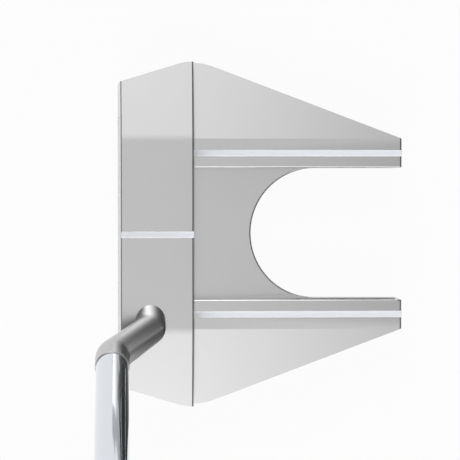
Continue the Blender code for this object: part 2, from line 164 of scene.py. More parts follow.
def spun(name, profile, turn, steps):  # a closed (radius, height) profile turned about its own Z
    shape = bmesh.new()
    ring = [shape.verts.new((r, 0, h)) for r, h in profile]
    edges = [shape.edges.new(pair) for pair in zip(ring, ring[1:] + ring[:1])]
    bmesh.ops.spin(shape, geom=ring + edges, cent=(0, 0, 0), axis=(0, 0, 1),
                   angle=2 * math.pi, steps=steps, use_merge=True)
    bmesh.ops.remove_doubles(shape, verts=shape.verts, dist=weld / 2)
    bmesh.ops.dissolve_degenerate(shape, edges=shape.edges, dist=weld / 2)
    bmesh.ops.recalc_face_normals(shape, faces=shape.faces)
    shape.transform(turn)
    return fromBmesh(name, shape)


def roundEdges(obj, width, segments, angle):
    rounding = obj.modifiers.new("rounding", "BEVEL")
    rounding.width = width
    rounding.segments = segments
    rounding.limit_method = "ANGLE"
    rounding.angle_limit = math.radians(angle)
    rounding.use_clamp_overlap = False
    return bake(obj)


def smoothShade(obj, angle=30):
    obj.data.shade_smooth()
    obj.data.set_sharp_from_angle(angle=math.radians(angle))
    weighted = obj.modifiers.new("weighted", "WEIGHTED_NORMAL")
    weighted.keep_sharp = True
    return obj


def finishPiece(obj, material, slotName, *nodes):
    obj.data.materials.clear()
    obj.data.materials.append(material)
    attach(obj, "root")
    if nodes:
        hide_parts(*nodes)
    return obj


def arc(centre, radius, start, end, steps):
    turns = [start + (end - start) * k / steps for k in range(steps + 1)]
    return [(centre[0] + radius * math.cos(t), centre[1] + radius * math.sin(t)) for t in turns]


def roundedBox(length, height, corner, steps=10):
    points = []
    for quarter, (sx, sy) in enumerate(((1, 1), (-1, 1), (-1, -1), (1, -1))):
        centre = (sx * (length / 2 - corner), sy * (height / 2 - corner))
        points += arc(centre, corner, quarter * math.pi / 2, (quarter + 1) * math.pi / 2, steps)
    return points


# An outline's first and second numbers become Y and Z across X, and Z and X across Y
acrossX = Matrix(((0, 0, 1, 0), (1, 0, 0, 0), (0, 1, 0, 0), (0, 0, 0, 1)))
acrossY = Matrix(((0, 1, 0, 0), (0, 0, 1, 0), (1, 0, 0, 0), (0, 0, 0, 1)))


# Camera, above the bar and a little to the toe side

view = {
    "place": (-30.3 * mm, 19.1 * mm, 700.0 * mm),
    "aim": (4.4 * mm, 1.2 * mm, 17.0 * mm),
    "lens": 174.2,
    "sensor": 36.0,
    "clip": (0.01, 100.0),
}


def makeCamera():
    data = bpy.data.cameras.new("camera")
    data.lens = view["lens"]
    data.sensor_width = view["sensor"]
    data.clip_start, data.clip_end = view["clip"]
    camera = linkNew("camera", data)
    back = (Vector(view["place"]) - Vector(view["aim"])).normalized()
    right = Vector((0, 1, 0)).cross(back).normalized()
    up = back.cross(right)
    turn = Matrix((right, up, back)).transposed().to_4x4()
    turn.translation = Vector(view["place"])
    camera.matrix_world = turn
    scene.camera = camera


# Studio: a white table under a strip of soft light from toe to heel, with a plain grey horizon

studio = {
    "coveRadius": 8.0,
    "coveBend": 1.5,
    "coveHeight": 1.8,
    "coveDrop": 0.02 * mm,
    "coveWhite": "#FDFDFD",
    "coveGlow": 0.96,
    "bendSteps": 16,
    "coveSides": 96,
    "strip": 0.20,
    "overhead": 1.05,
    "toeSide": 1.46,
    "heelSide": 1.58,
    "sideStart": 0.36,
    "corner": 4.4,
    "cornerFrom": (0.46, 0.72),
    "cornerShift": -0.22,
    "cornerWidth": 0.40,
    "front": 0.28,
    "frontFrom": (-0.50, -0.22),
    "horizon": (0.28, 0.68),
    "horizonSide": (0.25, 0.80),
    "horizonFrom": (0.42, 0.70),
}


def turnedSheet(profile, start, sweep, steps, closed=False):  # an open (radius, height) profile about Z
    shape = bmesh.new()
    ring = [shape.verts.new((r * math.cos(start), r * math.sin(start), h)) for r, h in profile]
    edges = [shape.edges.new(pair) for pair in zip(ring, ring[1:])]
    bmesh.ops.spin(shape, geom=ring + edges, cent=(0, 0, 0), axis=(0, 0, 1),
                   angle=sweep, steps=steps, use_merge=closed)
    return shape


def makeCove():  # a round white table that curves up into a low wall, so every side view ends in white
    s = studio
    foot = (s["coveRadius"] - s["coveBend"], s["coveBend"])
    profile = [(0.0, 0.0)] + arc(foot, s["coveBend"], -math.pi / 2, 0.0, s["bendSteps"])
    profile.append((s["coveRadius"], s["coveHeight"]))
    lowered = [(r, h - s["coveDrop"]) for r, h in profile]
    shape = turnedSheet(lowered, 0.0, 2 * math.pi, s["coveSides"], closed=True)
    bmesh.ops.remove_doubles(shape, verts=shape.verts, dist=10 * weld)
    bmesh.ops.dissolve_degenerate(shape, edges=shape.edges, dist=10 * weld)
    bmesh.ops.recalc_face_normals(shape, faces=shape.faces)
    if min(shape.faces, key=lambda f: f.calc_center_median().z).normal.z < 0:
        bmesh.ops.reverse_faces(shape, faces=shape.faces)
    cove = fromBmesh("cove", shape)
    cove.data.shade_smooth()
    material, tree, shader = newMaterial("white_table")
    tree.nodes.remove(shader)
    matt = addNode(tree, "ShaderNodeBsdfDiffuse", Color=linear(s["coveWhite"]))
    glow = addNode(tree, "ShaderNodeEmission", Color=linear(s["coveWhite"]))
    path = addNode(tree, "ShaderNodeLightPath")
    seen = path.outputs["Is Camera Ray"]
    for ray in ("Is Glossy Ray", "Is Transmission Ray"):  # metal mirrors the white that the camera sees
        either = addNode(tree, "ShaderNodeMath", {"operation": "MAXIMUM"}, in0=seen, in1=path.outputs[ray])
        seen = either.outputs[0]
    share = addNode(tree, "ShaderNodeMath", {"operation": "MULTIPLY"}, in0=seen, in1=s["coveGlow"])
    mix = addNode(tree, "ShaderNodeMixShader",
                  in0=share.outputs[0], in1=matt.outputs[0], in2=glow.outputs[0])
    tree.links.new(mix.outputs[0], tree.nodes["Material Output"].inputs["Surface"])
    cove.data.materials.append(material)


def makeWorld():
    s = studio
    world = bpy.data.worlds.new("studio")
    world.use_nodes = True
    scene.world = world
    tree = world.node_tree
    eased = {"interpolation_type": "SMOOTHSTEP"}
    coords = addNode(tree, "ShaderNodeTexCoord").outputs["Generated"]  # in a world, the direction
    way = addNode(tree, "ShaderNodeSeparateXYZ", in0=coords).outputs
    side = addNode(tree, "ShaderNodeMath", {"operation": "ABSOLUTE"}, in0=way["Y"]).outputs[0]

    # the strip, which widens and shifts to the front in its bright corners
    grow = addNode(tree, "ShaderNodeMapRange", eased, in0=side,
                   in1=s["cornerFrom"][0], in2=s["cornerFrom"][1], in3=0.0, in4=1.0).outputs[0]
    width = addNode(tree, "ShaderNodeMath", {"operation": "MULTIPLY_ADD"},
                    in0=grow, in1=s["cornerWidth"] - s["strip"], in2=s["strip"])
    moved = addNode(tree, "ShaderNodeMath", {"operation": "MULTIPLY_ADD"},
                    in0=grow, in1=-s["cornerShift"], in2=way["X"])
    ratio = addNode(tree, "ShaderNodeMath", {"operation": "DIVIDE"},
                    in0=moved.outputs[0], in1=width.outputs[0]).outputs[0]
    square = addNode(tree, "ShaderNodeMath", {"operation": "MULTIPLY"}, in0=ratio, in1=ratio)
    fall = addNode(tree, "ShaderNodeMath", {"operation": "MULTIPLY"}, in0=square.outputs[0], in1=-1.0)
    band = addNode(tree, "ShaderNodeMath", {"operation": "EXPONENT"}, in0=fall.outputs[0])

    # its level, from heel over the top to toe, and a weaker light in front
    toe = addNode(tree, "ShaderNodeMapRange", eased, in0=way["Y"],
                  in1=0.0, in2=s["sideStart"], in3=s["overhead"], in4=s["toeSide"])
    heel = addNode(tree, "ShaderNodeMapRange", eased, in0=way["Y"],
                   in1=-s["sideStart"], in2=0.0, in3=s["heelSide"] - s["overhead"], in4=0.0)
    across = addNode(tree, "ShaderNodeMath", {"operation": "ADD"},
                     in0=toe.outputs[0], in1=heel.outputs[0])
    level = addNode(tree, "ShaderNodeMath", {"operation": "MULTIPLY_ADD"},
                    in0=grow, in1=s["corner"], in2=across.outputs[0])
    front = addNode(tree, "ShaderNodeMapRange", eased, in0=way["X"],
                    in1=s["frontFrom"][0], in2=s["frontFrom"][1], in3=s["front"], in4=0.0)
    light = addNode(tree, "ShaderNodeMath", {"operation": "MULTIPLY_ADD"},
                    in0=band.outputs[0], in1=level.outputs[0], in2=front.outputs[0])

    # the horizon, paler to the sides than in front and behind
    high = addNode(tree, "ShaderNodeMapRange", eased, in0=way["Z"],
                   in1=s["horizonFrom"][0], in2=s["horizonFrom"][1], in3=0.0, in4=1.0)
    horizon = addNode(tree, "ShaderNodeMapRange", eased, in0=side,
                      in1=s["horizonSide"][0], in2=s["horizonSide"][1],
                      in3=s["horizon"][0], in4=s["horizon"][1])
    above = addNode(tree, "ShaderNodeMix",
                    in0=high.outputs[0], in2=horizon.outputs[0], in3=light.outputs[0])
    background = tree.nodes["Background"]
    background.inputs["Color"].default_value = (1.0, 1.0, 1.0, 1.0)
    tree.links.new(above.outputs[0], background.inputs["Strength"])


# Dark grey sheets, seen only in reflections, are painted dark reflections that give the polished shaft and
# the neck their dark streaks

felt = {
    "start": 0.35,
    "spread": math.radians(30),
    "lift": 2.0 * mm,
    "climb": math.radians(75),
    "climbSteps": 12,
    "sides": 24,
    "grey": "#3C3C3C",
    "roughness": 0.9,
    "bayMargin": 1.0 * mm,
    "bayLift": 0.05 * mm,
    "baySteps": 32,
}


# a sheet that only reflections see: it paints a dark reflection and casts no shade
def layPaintedReflection(name, shape):
    cloth = fromBmesh(name, shape)
    cloth.data.materials.append(paintedReflectionCloth)
    for ray in ("camera", "diffuse", "transmission", "volume_scatter", "shadow"):
        setattr(cloth, "visible_" + ray, False)


def makePaintedReflectionRuns():  # painted dark reflections: one run out in front and one behind, up into the cove's bend
    s = felt
    bend = studio["coveBend"]
    foot = (studio["coveRadius"] - bend, bend)
    profile = [(s["start"], s["lift"])]
    profile += arc(foot, bend - s["lift"], -math.pi / 2, s["climb"] - math.pi / 2, s["climbSteps"])
    for name, way in (("painted_reflection_behind", 0.0), ("painted_reflection_in_front", math.pi)):
        layPaintedReflection(name, turnedSheet(profile, way - s["spread"], 2 * s["spread"], s["sides"]))


# the grey of the sheets seen only in reflections: painted dark reflection
paintedReflectionCloth = newMaterial("felt_grey", Base_Color=linear(felt["grey"]), Roughness=felt["roughness"])[0]
makeCamera()
makeCove()
makePaintedReflectionRuns()
makeWorld()
print("camera and studio set")


# Materials, each named for the real one and how its surface was made

waveScale = math.pi / 10  # divided by a length, the scale at which a wave texture repeats at that length


def blastedMetal(name, hexColour, roughness, grain, depth):
    # blasted metal scatters light softly, with a fine even grain drawn coarser than real grit so it shows
    material, tree, shader = newMaterial(name, Base_Color=linear(hexColour), Metallic=1.0)
    cloudSize, cloudShare = 14 * mm, 0.5
    lowest, highest = 0.45, 1.05  # what the two noises together mostly span
    spread, relief = 0.015, 0.015
    coords = addNode(tree, "ShaderNodeTexCoord").outputs["Object"]
    speck = addNode(tree, "ShaderNodeTexNoise", Vector=coords, Scale=1.0 / grain, Detail=3.0)
    cloud = addNode(tree, "ShaderNodeTexNoise", Vector=coords, Scale=1.0 / cloudSize, Detail=2.0)
    mixed = addNode(tree, "ShaderNodeMath", {"operation": "MULTIPLY_ADD"},
                    in0=cloud.outputs["Fac"], in1=cloudShare, in2=speck.outputs["Fac"])
    rough = addNode(tree, "ShaderNodeMapRange", in0=mixed.outputs[0], in1=lowest, in2=highest,
                    in3=roughness - spread, in4=roughness + spread)
    bump = addNode(tree, "ShaderNodeBump", Strength=relief, Distance=depth, Height=speck.outputs["Fac"])
    tree.links.new(rough.outputs[0], shader.inputs["Roughness"])
    tree.links.new(bump.outputs[0], shader.inputs["Normal"])
    return material


def turnedSteel(name, centre):
    # lathe-turned steel: bright, with fine rings about its axis, drawn coarser than real feed marks
    material, tree, shader = newMaterial(name, Base_Color=linear("#C9C9CB"), Metallic=1.0)
    pitch, depth, relief = 0.4 * mm, 0.02 * mm, 0.3
    smoothest, roughest = 0.22, 0.34
    coords = addNode(tree, "ShaderNodeTexCoord").outputs["Object"]
    centred = addNode(tree, "ShaderNodeMapping", Vector=coords, Location=(-centre[0], -centre[1], 0.0))
    rings = addNode(tree, "ShaderNodeTexWave", {"wave_type": "RINGS", "rings_direction": "Z"},
                    Vector=centred.outputs[0], Scale=waveScale / pitch).outputs["Fac"]
    rough = addNode(tree, "ShaderNodeMapRange", in0=rings, in3=smoothest, in4=roughest)
    bump = addNode(tree, "ShaderNodeBump", Strength=relief, Distance=depth, Height=rings)
    tree.links.new(rough.outputs[0], shader.inputs["Roughness"])
    tree.links.new(bump.outputs[0], shader.inputs["Normal"])
    return material


def chromePlate():
    # polished chrome is a cool mirror with only faint haze
    material, tree, shader = newMaterial("chrome_plate_polished", Base_Color=linear("#DDE1E6"), Metallic=1.0)
    hazeSize = 6 * mm
    lowest, highest = 0.3, 0.7  # what the noise mostly spans
    clearest, haziest = 0.05, 0.09
    coords = addNode(tree, "ShaderNodeTexCoord").outputs["Object"]
    haze = addNode(tree, "ShaderNodeTexNoise", Vector=coords, Scale=1.0 / hazeSize, Detail=2.0)
    rough = addNode(tree, "ShaderNodeMapRange", in0=haze.outputs["Fac"], in1=lowest, in2=highest,
                    in3=clearest, in4=haziest)
    tree.links.new(rough.outputs[0], shader.inputs["Roughness"])
    return material


def mottled(name, darkHex, paleHex, roughness, grain, detail, relief, depth):  # one noise tints and lifts it
    material, tree, shader = newMaterial(name, Roughness=roughness)
    coords = addNode(tree, "ShaderNodeTexCoord").outputs["Object"]
    spots = addNode(tree, "ShaderNodeTexNoise", Vector=coords, Scale=1.0 / grain, Detail=detail)
    noise = spots.outputs["Fac"]
    tint = addNode(tree, "ShaderNodeMix", {"data_type": "RGBA"},
                   in0=noise, in6=linear(darkHex), in7=linear(paleHex))
    bump = addNode(tree, "ShaderNodeBump", Strength=relief, Distance=depth, Height=noise)
    tree.links.new(tint.outputs[2], shader.inputs["Base Color"])
    tree.links.new(bump.outputs[0], shader.inputs["Normal"])
    return material


def paperTape():
    # creped masking tape: buff paper with fine cross ridges
    material, tree, shader = newMaterial("paper_tape_creped", Roughness=0.85)
    ridge = 1.5 * mm
    coords = addNode(tree, "ShaderNodeTexCoord").outputs["Object"]
    ridges = addNode(tree, "ShaderNodeTexWave", {"bands_direction": "Z"}, Vector=coords,
                     Scale=waveScale / ridge, Distortion=3.0)
    tint = addNode(tree, "ShaderNodeMix", {"data_type": "RGBA"},
                   in0=ridges.outputs["Fac"], in6=linear("#CFC7B2"), in7=linear("#E0D9C8"))
    tree.links.new(tint.outputs[2], shader.inputs["Base Color"])
    return material


headMetal = blastedMetal("aluminium_bead_blasted", "#C5C5C5",
                         roughness=0.22, grain=0.35 * mm, depth=0.02 * mm)
neckMetal = blastedMetal("steel_satin_blasted", "#C6C6C6",
                         roughness=0.32, grain=0.30 * mm, depth=0.015 * mm)
chrome = chromePlate()

# thick enamel dried in a groove: cool white, glossy, slightly uneven
paint = mottled("enamel_paint_filled", "#F3F7FF", "#FAFCFF",
                roughness=0.13, grain=1.6 * mm, detail=3.0, relief=0.2, depth=0.05 * mm)

# cast urethane: off-white, dull sheen with a fine grain, drawn coarser than real so it shows
urethane = mottled("urethane_cast", "#E6E6E2", "#F0F0ED",
                   roughness=0.42, grain=0.6 * mm, detail=3.0, relief=0.3, depth=0.05 * mm)

# moulded rubber and cast elastomer: near black, dull, with a dusty grain drawn coarser than real
softLook = {"roughness": 0.62, "grain": 0.8 * mm, "detail": 4.0, "relief": 0.4, "depth": 0.1 * mm}
rubber = mottled("rubber_moulded", "#141415", "#222224", **softLook)
padRubber = mottled("elastomer_cast", "#1B1B1D", "#262628", **softLook)
tapePaper = paperTape()
print("materials made")


# Head: one block cut to its roofs, channel, bay, sole and loft, then edged and pocketed

_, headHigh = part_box("head_body")
headShape = {
    "leadingEdge": -30.0 * mm,
    "faceHalf": 46.3 * mm,
    "apexSetback": 23.2 * mm,
    "apexRadius": 18.0 * mm,
    "apexSteps": 24,
    "wingCorner": 1.0 * mm,
    "cornerSteps": 8,
    "barDepth": 23.15 * mm,
    "channel": 20.3 * mm,
    "crease": 29.3 * mm,
    "bayFront": 11.4 * mm,
    "baySteps": 64,
    "wingTop": 17.0 * mm,
    "floorTop": 6.0 * mm,
    "endSlope": math.radians(9.5),
    "loft": math.radians(2.0),
    "loftHeight": 3.0 * mm,
    "soleFront": 7.0 * mm,
    "soleRear": 52.0 * mm,
    "soleHalf": 36.0 * mm,
    "frontRelief": math.radians(12),
    "rearRelief": math.radians(5),
    "endRelief": math.radians(12),
    "edge": 0.45 * mm,
    "rearEdge": 0.65 * mm,
    "edgeSteps": 4,
    "creaseBlend": 1.2 * mm,
    "blendSteps": 6,
    "broad": 0.5 * mm,
    "fold": math.radians(4.0),
    "smoothAngle": 32,
    "overrun": 0.05 * mm,
    "cutterHalf": 100.0 * mm,
    "cutterTop": 50.0 * mm,
    "bayCutterTop": 30.0 * mm,
}
barRear = headShape["leadingEdge"] + headShape["barDepth"]
barTop = headHigh.z
headRear = headHigh.x


def headPlan():
    s = headShape
    centre = Vector((s["leadingEdge"] + s["apexSetback"], headHigh.y - s["apexRadius"]))
    end = headRear + s["overrun"]  # just past the block, so that only its sides are cut
    front = Vector((s["leadingEdge"], s["faceHalf"])) - centre
    rear = Vector((end, s["crease"])) - centre
    frontTurn = math.atan2(front.y, front.x) - math.acos(s["apexRadius"] / front.length)
    rearTurn = math.atan2(rear.y, rear.x) + math.acos(s["apexRadius"] / rear.length)
    slant = math.pi / 2 - rearTurn
    lead = math.tan(frontTurn - math.pi / 2)
    cornerY = s["crease"] + s["wingCorner"] * (math.tan(slant) - 1 / math.cos(slant))
    half = [(s["leadingEdge"] - spare, s["faceHalf"] - spare * lead)]
    half += arc(centre, s["apexRadius"], frontTurn, rearTurn, s["apexSteps"])
    half += arc((end - s["wingCorner"], cornerY), s["wingCorner"], rearTurn, 0.0, s["cornerSteps"])
    return half + [(x, -y) for x, y in reversed(half)]


def roofSection(crest, floor=None, blend=0.0):  # what lies above a level middle with sloping ends
    s = headShape
    reach = s["cutterHalf"]
    half = [(reach, s["cutterTop"]), (reach, crest - (reach - s["crease"]) * math.tan(s["endSlope"]))]
    if blend:
        radius = blend / math.tan(s["endSlope"] / 2)
        centre = (s["crease"] - blend, crest - radius)
        half += arc(centre, radius, math.pi / 2 - s["endSlope"], math.pi / 2, s["blendSteps"])
    else:
        half.append((s["crease"], crest))
    if floor is not None:
        half += [(s["channel"], crest), (s["channel"], floor)]
    return half + [(-y, z) for y, z in reversed(half)]


def breakEdges(head):
    # every outward edge is rounded, the bay's less and less as the floor beside it runs out
    s = headShape
    sharp = math.radians(30)
    backFacing, upFacing = 0.95, 0.9
    flush, onRim = 0.01 * mm, 0.05 * mm
    fade = 3 * s["edge"]
    shape = bmesh.new()
    shape.from_mesh(head.data)
    weights = shape.edges.layers.float.new("bevel_weight_edge")
    centre = Vector((s["bayFront"] + s["channel"], 0))
    for edge in shape.edges:
        if not edge.is_convex or edge.calc_face_angle(0.0) < sharp:
            continue
        ways = [f.normal for f in edge.link_faces]
        high = min(v.co.z for v in edge.verts) > s["floorTop"] + s["edge"]
        backward = max(n.x for n in ways) > backFacing and max(n.z for n in ways) > upFacing
        edge[weights] = 1.0 if high and backward else s["edge"] / s["rearEdge"]
        rim = [v.co for v in edge.verts if abs(v.co.z - s["floorTop"]) < flush]
        if len(rim) == 2 and all(abs((c.xy - centre).length - s["channel"]) < onRim for c in rim):
            beside = s["channel"] - abs(rim[0].y + rim[1].y) / 2
            edge[weights] *= min(1.0, beside / fade)
    shape.to_mesh(head.data)
    shape.free()
    rounding = head.modifiers.new("rounding", "BEVEL")
    rounding.width = s["rearEdge"]
    rounding.segments = s["edgeSteps"]
    rounding.limit_method = "WEIGHT"
    rounding.use_clamp_overlap = False
    bake(head)


def sharpenFolds(head):  # broad faces meet in crisp lines, however flat the fold
    s = headShape
    shape = bmesh.new()
    shape.from_mesh(head.data)
    broad = {f for f in shape.faces if f.calc_area() > s["broad"] * max(e.calc_length() for e in f.edges)}
    for edge in shape.edges:
        if broad.issuperset(edge.link_faces) and edge.calc_face_angle(0.0) > s["fold"]:
            edge.smooth = False
    shape.to_mesh(head.data)
    shape.free()


def makeHead():
    s = headShape
    near, far = s["leadingEdge"] - 2 * spare, headRear + spare
    ahead, half = s["leadingEdge"] - spare, headHigh.y + spare
    wide, under = s["cutterHalf"], -spare
    block = [(ahead, -half), (headRear, -half), (headRear, half), (ahead, half)]
    head = flatSolid("putter_head", block, 0.0, barTop + spare)
    carve(head, flatSolid("tool", roofSection(barTop, blend=s["creaseBlend"]), near, far, acrossX))
    carve(head, flatSolid("tool", roofSection(s["wingTop"], floor=s["floorTop"]), barRear, far, acrossX))
    bay = [(far, s["channel"])]
    bay += arc((s["bayFront"] + s["channel"], 0.0), s["channel"], math.pi / 2, 1.5 * math.pi, s["baySteps"])
    bay.append((far, -s["channel"]))
    carve(head, flatSolid("tool", bay, under, s["bayCutterTop"]))
    frontStart, rearStart = s["leadingEdge"] + s["soleFront"], s["leadingEdge"] + s["soleRear"]
    frontRise = (frontStart - near) * math.tan(s["frontRelief"])
    rearRise = (far - rearStart) * math.tan(s["rearRelief"])
    sole = [(under, near), (frontRise, near), (0.0, frontStart)]
    sole += [(0.0, rearStart), (rearRise, far), (under, far)]
    carve(head, flatSolid("tool", sole, -wide, wide, acrossY))
    endRise = (wide - s["soleHalf"]) * math.tan(s["endRelief"])
    ends = [(wide, under), (wide, endRise), (s["soleHalf"], 0.0)]
    carve(head, flatSolid("tool", ends + [(-y, z) for y, z in reversed(ends)], near, far, acrossX))
    low, high = 2 * under, s["cutterTop"]
    lean = math.tan(s["loft"])
    slope = [(z, s["leadingEdge"] + (z - s["loftHeight"]) * lean) for z in (low, high)]
    carve(head, flatSolid("tool", [(low, near)] + slope + [(high, near)], -wide, wide, acrossY))
    breakEdges(head)
    carve(head, flatSolid("tool", headPlan(), under, barTop + 2 * spare), "INTERSECT")
    return head


def makeBayPaintedReflection():  # a painted dark reflection: a patch on the table inside the bay, seen only in reflections
    s = headShape
    radius = s["channel"] - felt["bayMargin"]
    outline = [(headRear, radius)]
    outline += arc((s["bayFront"] + s["channel"], 0.0), radius, math.pi / 2, 1.5 * math.pi, felt["baySteps"])
    outline.append((headRear, -radius))
    shape = bmesh.new()
    shape.faces.new([shape.verts.new((x, y, felt["bayLift"])) for x, y in outline])
    layPaintedReflection("painted_reflection_in_bay", shape)


head = makeHead()
makeBayPaintedReflection()
print("head blank made:", len(head.data.polygons), "faces")


# Face insert in its pocket

insertShape = {
    "length": 72.0 * mm,
    "height": 15.0 * mm,
    "corner": 6.0 * mm,
    "thickness": 3.2 * mm,
    "pocket": 4.8 * mm,
    "centre": 12.5 * mm,
    "gap": 0.08 * mm,
    "edge": 0.25 * mm,
}


def faceTurn():
    loft = headShape["loft"]
    out = Vector((-math.cos(loft), 0, math.sin(loft)))
    up = Vector((math.sin(loft), 0, math.cos(loft)))
    turn = Matrix((up.cross(out), up, out)).transposed().to_4x4()
    lift = insertShape["centre"]
    setback = (lift - headShape["loftHeight"]) * math.tan(loft)
    turn.translation = (headShape["leadingEdge"] + setback, 0, lift)
    return turn


def makeInsert():
    s = insertShape
    pocket = roundedBox(s["length"], s["height"], s["corner"])
    carve(head, flatSolid("tool", pocket, -s["pocket"], spare, faceTurn()))
    outline = roundedBox(s["length"] - 2 * s["gap"], s["height"] - 2 * s["gap"], s["corner"] - s["gap"])
    insert = flatSolid("putter_insert", outline, -s["thickness"], 0.0, faceTurn())
    roundEdges(insert, s["edge"], segments=3, angle=40)
    smoothShade(insert)
    finishPiece(insert, urethane, "insert", "face_insert")


makeInsert()
print("insert made")


# Sight lines: milled grooves with paint drawn down in the middle

lineShape = {
    "width": 2.0 * mm,
    "depth": 0.6 * mm,
    "meniscus": 0.22 * mm,
    "meniscusSteps": 12,
    "drop": 0.02 * mm,
    "gap": 0.004 * mm,
    "frontInset": 0.2 * mm,
    "wallGap": 0.01 * mm,
    "rearInset": 0.15 * mm,
}


def makeSightLine(name, node, offset, crest, grooveFront, front, rear):
    s = lineShape
    half = s["width"] / 2
    side = Matrix.Translation((0, offset, 0)) @ acrossX
    bottom, above = crest - s["depth"], crest + spare
    trough = [(-half, bottom), (half, bottom), (half, above), (-half, above)]
    carve(head, flatSolid("tool", trough, grooveFront, rear + spare, side))
    half -= s["gap"]
    radius = (half ** 2 + s["meniscus"] ** 2) / (2 * s["meniscus"])
    spread = math.asin(half / radius)
    centre = (0, crest - s["drop"] + radius - s["meniscus"])
    top = arc(centre, radius, -math.pi / 2 - spread, -math.pi / 2 + spread, s["meniscusSteps"])
    base = bottom + s["gap"]
    strip = flatSolid(name, top + [(half, base), (-half, base)], front, rear, side)
    smoothShade(strip, angle=40)
    finishPiece(strip, paint, "paint", node)


faceTop = headShape["leadingEdge"] + (barTop - headShape["loftHeight"]) * math.tan(headShape["loft"])
makeSightLine("paint_line_front", "sight_line_front", 0.0, barTop,
              headShape["leadingEdge"] - spare, faceTop + lineShape["frontInset"],
              barRear - lineShape["rearInset"])
wingLine = (headShape["channel"] + headShape["crease"]) / 2
lineStart = barRear + headShape["edge"]
for lineSide, lineOffset in (("toe", wingLine), ("heel", -wingLine)):
    makeSightLine("paint_line_" + lineSide, "sight_line_" + lineSide, lineOffset, headShape["wingTop"],
                  lineStart, lineStart + lineShape["wallGap"], headRear - lineShape["rearInset"])
print("sight lines made")


# Sole weights in their ports

weightShape = {
    "radius": 6.0 * mm,
    "thickness": 3.0 * mm,
    "shank": 4.0 * mm,
    "length": 9.5 * mm,
    "recess": 0.3 * mm,
    "edge": 0.3 * mm,
    "gap": 0.1 * mm,
    "drive": 4.0 * mm,
    "driveDepth": 2.2 * mm,
    "sides": 64,
}


def makeWeight(name, node):
    s = weightShape
    low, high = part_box(node)
    centre = ((low.x + high.x) / 2, (low.y + high.y) / 2)
    spot = Matrix.Translation((*centre, 0))
    top, ledge = s["length"] + s["gap"], s["thickness"] + s["gap"]
    shank, radius = s["shank"] + s["gap"], s["radius"] + s["gap"]
    port = [(0, top), (shank, top), (shank, ledge), (radius, ledge), (radius, -spare), (0, -spare)]
    carve(head, spun("tool", port, spot, s["sides"]))
    rim = s["recess"]
    profile = [(0, s["length"]), (s["shank"], s["length"]), (s["shank"], s["thickness"])]
    profile += [(s["radius"], s["thickness"]), (s["radius"], rim + s["edge"])]
    profile += [(s["radius"] - s["edge"], rim), (0, rim)]
    weight = spun(name, profile, spot, s["sides"])
    drive = arc((0, 0), s["drive"] / math.sqrt(3), 0, 2 * math.pi, 6)[:-1]  # a hexagon
    carve(weight, flatSolid("tool", drive, -spare, rim + s["driveDepth"], spot))
    smoothShade(weight)
    finishPiece(weight, turnedSteel("steel_turned_" + node, centre), "weights", node)


makeWeight("sole_weight_toe", "toe_weight")
makeWeight("sole_weight_heel", "heel_weight")
print("weights made")


# Neck: a bent rod with a flat foot on the bar and a collar under the shaft

lie = math.radians(70.0)
shaftWay = Vector((0, -math.cos(lie), math.sin(lie)))
shaftFoot = Vector((-31.7 * mm, -13.6 * mm, 0))
shaftTurn = Matrix.Translation(shaftFoot) @ Matrix.Rotation(math.pi / 2 - lie, 4, "X")
neckShape = {
    "base": Vector((-20.15 * mm, -26.0 * mm, barTop)),
    "stub": 6.0 * mm,
    "rise": 25.5 * mm,
    "collarRise": 7.0 * mm,
    "radius": 4.5 * mm,
    "collarRadius": 5.0 * mm,
    "tail": 8.0 * mm,
    "lowBend": 5.0 * mm,
    "highBend": 8.0 * mm,
    "bendSteps": 16,
    "sides": 64,
    "footGap": 0.03 * mm,
    "footCut": 20.0 * mm,
    "footCorner": 1.0 * mm,
    "edge": 0.3 * mm,
    "spigot": 3.95 * mm,
    "spigotLength": 25.0 * mm,
    "spigotRoot": 3.0 * mm,
    "spigotSides": 48,
}
lowElbow = neckShape["base"] + shaftWay * (neckShape["stub"] / math.sin(lie))
highElbow = shaftFoot + shaftWay * ((lowElbow.z + neckShape["rise"]) / math.sin(lie))
collarTop = (highElbow - shaftFoot).length + neckShape["collarRise"] / math.sin(lie)


def sweptRod(name, points, bends, sizes):  # a circle carried along a path whose corners are bent round
    mesh = bpy.data.meshes.new(name)
    mesh.from_pydata(points, [(k, k + 1) for k in range(len(points) - 1)], [])
    mesh.attributes.new("bend", "FLOAT", "POINT").data.foreach_set("value", bends)
    tree, given = startTree("sweptRod", sizes)
    line = addNode(tree, "GeometryNodeMeshToCurve", Mesh=given["Geometry"])
    bend = addNode(tree, "GeometryNodeInputNamedAttribute", {"data_type": "FLOAT"}, Name="bend")
    bent = addNode(tree, "GeometryNodeFilletCurve", {"mode": "POLY"}, Curve=line.outputs[0],
                   Count=given["bendSteps"], Radius=bend.outputs["Attribute"])
    position = addNode(tree, "GeometryNodeInputPosition").outputs[0]
    place = addNode(tree, "ShaderNodeSeparateXYZ", in0=position)
    swell = addNode(tree, "ShaderNodeMapRange", in0=place.outputs["Z"], in1=given["swellStart"],
                    in2=given["swellEnd"], in3=1.0, in4=given["swell"])
    ring = addNode(tree, "GeometryNodeCurvePrimitiveCircle",
                   Resolution=given["sides"], Radius=given["radius"])
    rod = addNode(tree, "GeometryNodeCurveToMesh", Curve=bent.outputs[0], Profile_Curve=ring.outputs[0],
                  Scale=swell.outputs[0], Fill_Caps=True)
    return runTree(linkNew(name, mesh), tree, sizes, rod.outputs[0], neckMetal)


